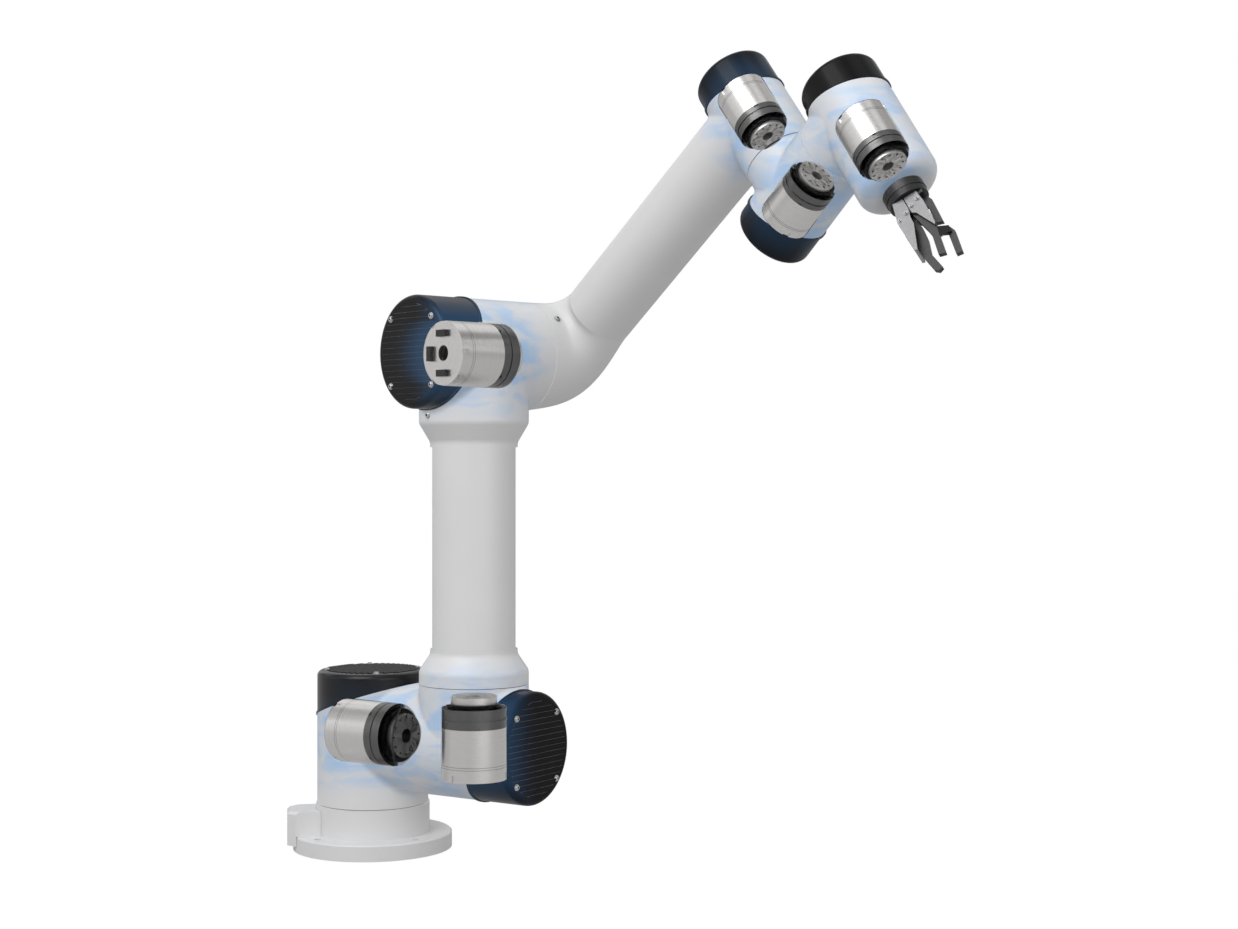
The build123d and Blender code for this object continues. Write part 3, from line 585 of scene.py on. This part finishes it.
def paint_drive(drive):
    """Finishes one drive: bright turned steel, a dark gear ring with a black step, and a ground
    flange, painted darker as shade on the shoulder's drive."""
    low, high, _ = drive.span("motor_shell")
    seams = (low, low + (high - low) * SEAM_STEP, high)
    # Painted shade: the shoulder drive's flange takes the darker copy of the ground steel
    flange = SHADED_FLANGE_STEEL if drive.name == "shoulder" else GROUND_STEEL
    steel = turned_metal(drive.node("steel"), drive, *BRIGHT_STEEL, seams)
    dark = turned_metal(drive.node("dark"), drive, *DARK_RING)
    step = turned_metal(drive.node("step"), drive, *BLACK_STEP)
    ground = turned_metal(drive.node("ground"), drive, *flange)
    behind_plate = (drive.origin, -drive.axis, SEAM_HALF - drive.plate)
    before_shoulder = (drive.origin, drive.axis, drive.shoulder - SEAM_HALF)
    paint_node(drive.node("motor_shell"), steel)
    paint_node(drive.node("rear_cover"), steel, socket_black, behind_plate)
    paint_node(drive.node("gear_ring"), dark, step, before_shoulder)
    paint_node(drive.node("output"), ground)
    paint_node(drive.node("rotor"), steel)


socket_black = plain_metal(
    "socket_black", (0.008, 0.008, 0.009, 1), (0.014, 0.014, 0.015, 1), roughness=0.45, metallic=0.0
)
for drive in drives.values():
    paint_drive(drive)

# Casings, each with the drives that show through it
for node, names in (
    ("base_pedestal", ()),
    ("base_cable_box", ()),
    ("column_casing", ("shoulder",)),
    ("shoulder_casing", ("shoulder", "roll")),
    ("upper_arm_collar", ("roll",)),
    ("upper_arm_tube", ()),
    ("elbow_casing", ("elbow",)),
    ("forearm_elbow", ("elbow",)),
    ("forearm_tube", ()),
    ("wrist_1_casing", ("wrist_1",)),
    ("wrist_2_casing", ("wrist_1", "wrist_2")),
    ("wrist_3_casing", ("wrist_2", "wrist_3")),
):
    paint_node(node, casing_paint(node + "_paint", [drives[name] for name in names]))

# Caps, each with its drive, its share of painted blue glow and its shine
for node, name, glow_amount, shine in (
    ("column_cap", "shoulder", 0.15, 0.3),
    ("shoulder_cap", "roll", 0.8, 0.06),
    ("elbow_cap", "elbow", 1.0, 0.13),
    ("wrist_1_cap", "wrist_1", 0.5, 0.11),
    ("wrist_2_cap", "wrist_2", 0.5, 0.11),
    ("wrist_3_cap", "wrist_3", 0.0, 0.10),
):
    paint_node(node, cap_plastic(node + "_plastic", [drives[name]], glow_amount, shine))

# Tool
tool_grey = plain_metal(
    "tool_grey",
    (0.075, 0.075, 0.078, 1),
    (0.05, 0.05, 0.052, 1),
    roughness=0.42,
    seen=[drives["wrist_3"]],
)
tool_black = plain_metal(
    "tool_black", (0.010, 0.010, 0.011, 1), (0.018, 0.018, 0.019, 1), roughness=0.38, metallic=0.2
)
sheet_steel = plain_metal(
    "sheet_steel", (0.27, 0.27, 0.275, 1), (0.22, 0.22, 0.225, 1), roughness=0.5, metallic=0.7
)
pin_steel = plain_metal("pin_steel", (0.3, 0.3, 0.3, 1), (0.24, 0.24, 0.24, 1), roughness=0.4)
for node, finish in (
    ("tool_flange", tool_grey),
    ("gripper_palm", tool_black),
    ("gripper_cheeks", sheet_steel),
    ("gripper_pins", pin_steel),
    ("fork_finger", tool_black),
    ("thumb_finger", tool_black),
    ("fork_link", tool_black),
):
    paint_node(node, finish)


# Small pieces


def add_piece(name, shape, finishes, body=None):
    """Makes an object of a shape. It rides on body, or without one it is for the caller to place."""
    mesh = bpy.data.meshes.new(name)
    shape.to_mesh(mesh)
    shape.free()
    for finish in finishes:
        mesh.materials.append(finish)
    piece = bpy.data.objects.new(name, mesh)
    bpy.context.scene.collection.objects.link(piece)
    if body is not None:
        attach(piece, body)
    return piece


def turn_profile(shape, profile, sides, closed=False):
    """Turns a profile of (radius, height) points round the Z axis, a full turn."""
    points = [shape.verts.new((radius, 0, height)) for radius, height in profile]
    pairs = list(zip(points, points[1:]))
    if closed:
        pairs.append((points[-1], points[0]))
    edges = [shape.edges.new(pair) for pair in pairs]
    bmesh.ops.spin(
        shape,
        geom=points + edges,
        cent=(0, 0, 0),
        axis=(0, 0, 1),
        angle=2 * math.pi,
        steps=sides,
        use_merge=True,
    )


# Screws: a profile in shares of the washer's radius, and the hexagon socket in its top
SCREW_SIDES = 24
SCREW_PROFILE = ((1, -0.1), (1, 0.12), (0.72, 0.14), (0.70, 0.50), (0.62, 0.58))
SOCKET_SIDES = 6
SOCKET_TURN = math.radians(30)
SOCKET_CORNER = 0.36
SOCKET_BRIM = 0.57
SOCKET_FLOOR = 0.20
SOCKET_TAPER = 0.34 / 0.36
SCREW_SINK = 0.0009
LARGE_CAP_SPREAD = 0.035
SMALL_CAP_SPREAD = 0.022
CAP_SCREW_SHARE = 0.095
CASING_SCREW_RADIUS = 0.0038
CHEEK_SCREW_RADIUS = 0.0021


def screw_shape(radius):
    """A socket-head screw on its washer, upright at the origin. Its socket has the second finish."""
    shape = bmesh.new()
    turn_profile(shape, SCREW_PROFILE, SCREW_SIDES)
    top = SCREW_PROFILE[-1][1]
    rims = [edge for edge in shape.edges if edge.is_boundary]
    brim = [edge for edge in rims if edge.verts[0].co.z + edge.verts[1].co.z > top]
    foot = [edge for edge in rims if edge not in brim]
    bmesh.ops.edgeloop_fill(shape, edges=foot)
    place = Matrix.Translation((0, 0, SOCKET_BRIM)) @ Matrix.Rotation(SOCKET_TURN, 4, "Z")
    circle = bmesh.ops.create_circle(shape, segments=SOCKET_SIDES, radius=SOCKET_CORNER, matrix=place)
    hexagon = list({edge for corner in circle["verts"] for edge in corner.link_edges})
    bmesh.ops.bridge_loops(shape, edges=brim + hexagon)
    drawn = bmesh.ops.extrude_edge_only(shape, edges=hexagon)["geom"]
    floor_corners = [item for item in drawn if isinstance(item, bmesh.types.BMVert)]
    bmesh.ops.translate(shape, verts=floor_corners, vec=(0, 0, SOCKET_FLOOR - SOCKET_BRIM))
    bmesh.ops.scale(shape, verts=floor_corners, vec=(SOCKET_TAPER, SOCKET_TAPER, 1))
    floor_edges = [
        item for item in drawn
        if isinstance(item, bmesh.types.BMEdge) and all(v in floor_corners for v in item.verts)
    ]
    filled = bmesh.ops.edgeloop_fill(shape, edges=floor_edges)["faces"]
    for face in filled + [item for item in drawn if isinstance(item, bmesh.types.BMFace)]:
        face.material_index = 1
    bmesh.ops.recalc_face_normals(shape, faces=shape.faces)
    bmesh.ops.scale(shape, verts=shape.verts, vec=(radius, radius, radius))
    return shape


def add_screws(name, body, places, radius, finish):
    """One piece with a screw at each (place, axis), riding on a body."""
    screws = bmesh.new()
    for place, axis in places:
        screw = screw_shape(radius)
        bmesh.ops.transform(screw, matrix=frame_matrix(place, axis, ODD_SIDE), verts=screw.verts)
        one = bpy.data.meshes.new(name + "_one")
        screw.to_mesh(one)
        screw.free()
        screws.from_mesh(one)
        bpy.data.meshes.remove(one)
    add_piece(name, screws, (finish, socket_black), body)


screw_steel = plain_metal("screw_steel", (0.62, 0.62, 0.62, 1), (0.5, 0.5, 0.5, 1), roughness=0.3)
for node, body, name, way, side, spread in (
    ("column_cap", "column", "shoulder", UP, shoulder_way, LARGE_CAP_SPREAD),
    ("shoulder_cap", "shoulder", "roll", shoulder_way, UP, LARGE_CAP_SPREAD),
    ("elbow_cap", "upper_arm", "elbow", -elbow_way, UP, LARGE_CAP_SPREAD),
    ("wrist_1_cap", "forearm", "wrist_1", -wrist_1_way, forearm_way, SMALL_CAP_SPREAD),
    ("wrist_2_cap", "wrist_2", "wrist_2", -wrist_2_way, wrist_1_way, SMALL_CAP_SPREAD),
    ("wrist_3_cap", "wrist_3", "wrist_3", -wrist_3_way, wrist_2_way, SMALL_CAP_SPREAD),
):
    middle = drives[name].origin
    top = span(node, middle, way)[1]
    matrix = frame_matrix(middle + way * (top - SCREW_SINK), way, side)
    corners = [matrix @ (Vector((x, y, 0)) * spread) for x in (-1, 1) for y in (-1, 1)]
    places = [(corner, way) for corner in corners]
    add_screws(node + "_screws", body, places, spread * CAP_SCREW_SHARE, screw_steel)

# Screws on the casings, where the photograph's viewing position sees them, in its pixels
ELBOW_SCREW_PIXEL = (428, 415)
FOREARM_SCREW_PIXEL = (557, 319)
for name, node, body, (x, y) in (
    ("elbow_casing_screw", "elbow_casing", "upper_arm", ELBOW_SCREW_PIXEL),
    ("forearm_screw", "forearm_elbow", "forearm", FOREARM_SCREW_PIXEL),
):
    mesh = nodes[node].data
    wall = BVHTree.FromPolygons([v.co for v in mesh.vertices], [f.vertices for f in mesh.polygons])
    sight = Vector((x - PHOTO_WIDTH / 2, PHOTO_FOCAL_PIXELS, PHOTO_HEIGHT / 2 - y)).normalized()
    place, normal, _, _ = wall.ray_cast(CAMERA_PLACE, sight)
    if normal.dot(sight) > 0:
        normal = -normal
    add_screws(name, body, [(place, normal)], CASING_SCREW_RADIUS, screw_steel)

# Screws on both sides of the gripper's cheeks: three end the pins, and the last holds the cheek.
# Each has its millimetres across and along the tool, and the node that it stands on
TOOL_TURN = math.radians(144)
CHEEK_SCREWS = (
    (-7.5, 124.1, "gripper_pins"),
    (-0.2, 120.2, "gripper_pins"),
    (7.4, 116.5, "gripper_pins"),
    (-15.4, 127.6, "gripper_cheeks"),
)
tool_origin = drives["wrist_3"].origin
tool_across = Matrix.Rotation(TOOL_TURN, 3, wrist_3_way) @ -wrist_2_way
tool_depth = wrist_3_way.cross(tool_across)
cheek_screws = []
for way in (tool_depth, -tool_depth):
    for across, along, node in CHEEK_SCREWS:
        height = span(node, tool_origin, way)[1]
        place = tool_origin + (tool_across * across + wrist_3_way * along) * MM + way * height
        cheek_screws.append((place, way))
add_screws("gripper_screws", "tool", cheek_screws, CHEEK_SCREW_RADIUS, pin_steel)

# Seals in the turning gaps: a section of (depth inside the wall, height above its end)
SEAL_SIDES = 96
SEAL_SECTION = ((0.0009, 0.0001), (0.0009, 0.0006), (0.0030, 0.0006), (0.0030, 0.0001))
COLUMN_WALL = 0.0605
LARGE_WALL = 0.058
SMALL_WALL = 0.0382


def add_seal(name, body, node, drive, axis, radius):
    """A dark ring in the gap beyond a casing's open end, a little inside its wall."""
    end = span(node, drive.origin, axis)[1]
    shape = bmesh.new()
    section = [(radius - depth, end + height) for depth, height in SEAL_SECTION]
    turn_profile(shape, section, SEAL_SIDES, closed=True)
    bmesh.ops.recalc_face_normals(shape, faces=shape.faces)
    bmesh.ops.transform(shape, matrix=frame_matrix(drive.origin, axis, ODD_SIDE), verts=shape.verts)
    add_piece(name, shape, (seal_rubber,), body)


seal_rubber = plain_metal(
    "seal_rubber", (0.02, 0.02, 0.021, 1), (0.03, 0.03, 0.031, 1), roughness=0.7, metallic=0.0
)
for name, body, node, axis, radius in (
    ("yaw", "base", "base_pedestal", UP, COLUMN_WALL),
    ("shoulder", "column", "column_casing", shoulder_way, LARGE_WALL),
    ("roll", "shoulder", "shoulder_casing", UP, LARGE_WALL),
    ("elbow", "upper_arm", "elbow_casing", elbow_way, LARGE_WALL),
    ("wrist_1", "forearm", "wrist_1_casing", wrist_1_way, SMALL_WALL),
    ("wrist_2", "wrist_2", "wrist_2_casing", wrist_2_way, SMALL_WALL),
):
    add_seal(name + "_seal", body, node, drives[name], axis, radius)

# Floor and surroundings
FLOOR_SIZE = 12.0
FLOOR_DROP = 0.0006
FLOOR_TONE = 0.42
FLOOR_STRENGTH = 1.12
FLOOR_GLOW = 0.86
MIRRORED = 0.3
LIGHT_STRENGTH = 0.62
# The tones of the light from below to above, and from the left to the right
HEIGHT_RANGE = (-0.2, 0.7)
HEIGHT_TONES = (0.55, 1.0)
SIDE_RANGE = (-0.9, 0.9)
SIDE_TONES = (1.05, 0.82)
PANEL_SCALE = 2.3
PANEL_EDGE = (0.44, 0.56)
PANEL_BRIGHT = 1.6


def backdrop_share(tree):
    """1 for rays from the viewer or through glass, and MIRRORED for rays off glossy surfaces."""
    rays = tree.nodes.new("ShaderNodeLightPath").outputs
    glossy = math_node(tree, "MULTIPLY", rays["Is Glossy Ray"], MIRRORED)
    direct = math_node(tree, "MAXIMUM", rays["Is Camera Ray"], rays["Is Transmission Ray"])
    return math_node(tree, "MAXIMUM", direct, glossy)


def add_floor():
    """A pale floor that stays white to the viewer but keeps the arm's shadow."""
    material, tree, shader, _ = new_material("floor_white")
    set_shader(shader, Base_Color=(FLOOR_TONE, FLOOR_TONE, FLOOR_TONE, 1), Roughness=0.9)
    white = tree.nodes.new("ShaderNodeEmission")
    feed(tree, FLOOR_STRENGTH, white.inputs["Strength"])
    mix = tree.nodes.new("ShaderNodeMixShader")
    feed(tree, math_node(tree, "MULTIPLY", backdrop_share(tree), FLOOR_GLOW), mix.inputs[0])
    feed(tree, shader.outputs[0], mix.inputs[1])
    feed(tree, white.outputs[0], mix.inputs[2])
    feed(tree, mix.outputs[0], tree.nodes["Material Output"].inputs["Surface"])
    shape = bmesh.new()
    bmesh.ops.create_grid(shape, x_segments=1, y_segments=1, size=FLOOR_SIZE)
    bmesh.ops.translate(shape, verts=shape.verts, vec=(0, 0, -FLOOR_DROP))
    add_piece("floor", shape, (material,))


def light_tone(tree):
    """The brightness of the surroundings: lighter above and to the left, with soft panels
    that only reflections show."""
    way = tree.nodes.new("ShaderNodeTexCoord").outputs["Generated"]
    split = tree.nodes.new("ShaderNodeSeparateXYZ")
    feed(tree, way, split.inputs[0])
    height = ramp_node(tree, split.outputs["Z"], *HEIGHT_RANGE, *HEIGHT_TONES)
    side = ramp_node(tree, split.outputs["X"], *SIDE_RANGE, *SIDE_TONES)
    panels = noise_node(tree, way, PANEL_SCALE, 0.0)
    panels = ramp_node(tree, panels, *PANEL_EDGE, 0.0, PANEL_BRIGHT)
    glossy = tree.nodes.new("ShaderNodeLightPath").outputs["Is Glossy Ray"]
    contrast = math_node(tree, "MULTIPLY_ADD", math_node(tree, "SUBTRACT", panels, 1.0), glossy, 1.0)
    return math_node(tree, "MULTIPLY", math_node(tree, "MULTIPLY", height, side), contrast)


def add_world():
    """White surroundings for the viewer, with softer tones for the light and for reflections."""
    world = bpy.data.worlds.new("studio")
    bpy.context.scene.world = world
    world.use_nodes = True
    tree = world.node_tree
    tree.nodes.clear()
    tone = light_tone(tree)
    grey = tree.nodes.new("ShaderNodeCombineXYZ")
    for socket in grey.inputs:
        feed(tree, tone, socket)
    light = tree.nodes.new("ShaderNodeBackground")
    feed(tree, grey.outputs[0], light.inputs["Color"])
    feed(tree, LIGHT_STRENGTH, light.inputs["Strength"])
    white = tree.nodes.new("ShaderNodeBackground")
    feed(tree, (1, 1, 1, 1), white.inputs["Color"])
    mix = tree.nodes.new("ShaderNodeMixShader")
    feed(tree, backdrop_share(tree), mix.inputs[0])
    feed(tree, light.outputs[0], mix.inputs[1])
    feed(tree, white.outputs[0], mix.inputs[2])
    out = tree.nodes.new("ShaderNodeOutputWorld")
    feed(tree, mix.outputs[0], out.inputs["Surface"])


# Lamps and camera
LAMP_AIM = Vector((0.2, 0, 0.4))
KEY_PLACE = Vector((-0.9, -1.7, 2.2))
FILL_PLACE = Vector((1.6, -1.8, 0.9))
LEVEL_TILT = math.radians(90)
# A line of sight crosses up to this many clear walls on its way to a drive and back out
CLEAR_LAYERS = 40


def add_lamp(name, place, size, power):
    """A soft square lamp at place that points at the arm."""
    lamp = bpy.data.lights.new(name, "AREA")
    lamp.size = size
    lamp.energy = power
    thing = bpy.data.objects.new(name, lamp)
    thing.location = place
    thing.rotation_euler = (LAMP_AIM - place).to_track_quat("-Z", "Y").to_euler()
    bpy.context.scene.collection.objects.link(thing)


def add_camera():
    """The photograph's camera: level, looking along +Y."""
    data = bpy.data.cameras.new("photo_camera")
    data.sensor_width = SENSOR_WIDTH
    data.lens = PHOTO_FOCAL_PIXELS / PHOTO_WIDTH * SENSOR_WIDTH
    data.clip_end = CAMERA_REACH
    camera = bpy.data.objects.new("photo_camera", data)
    camera.location = CAMERA_PLACE
    camera.rotation_euler = (LEVEL_TILT, 0, 0)
    bpy.context.scene.collection.objects.link(camera)
    bpy.context.scene.camera = camera


add_floor()
add_world()
add_lamp("key", KEY_PLACE, size=1.8, power=33.0)
add_lamp("fill", FILL_PLACE, size=1.6, power=9.0)
add_camera()
bpy.context.scene.view_settings.view_transform = "Standard"
bpy.context.scene.cycles.transparent_max_bounces = CLEAR_LAYERS
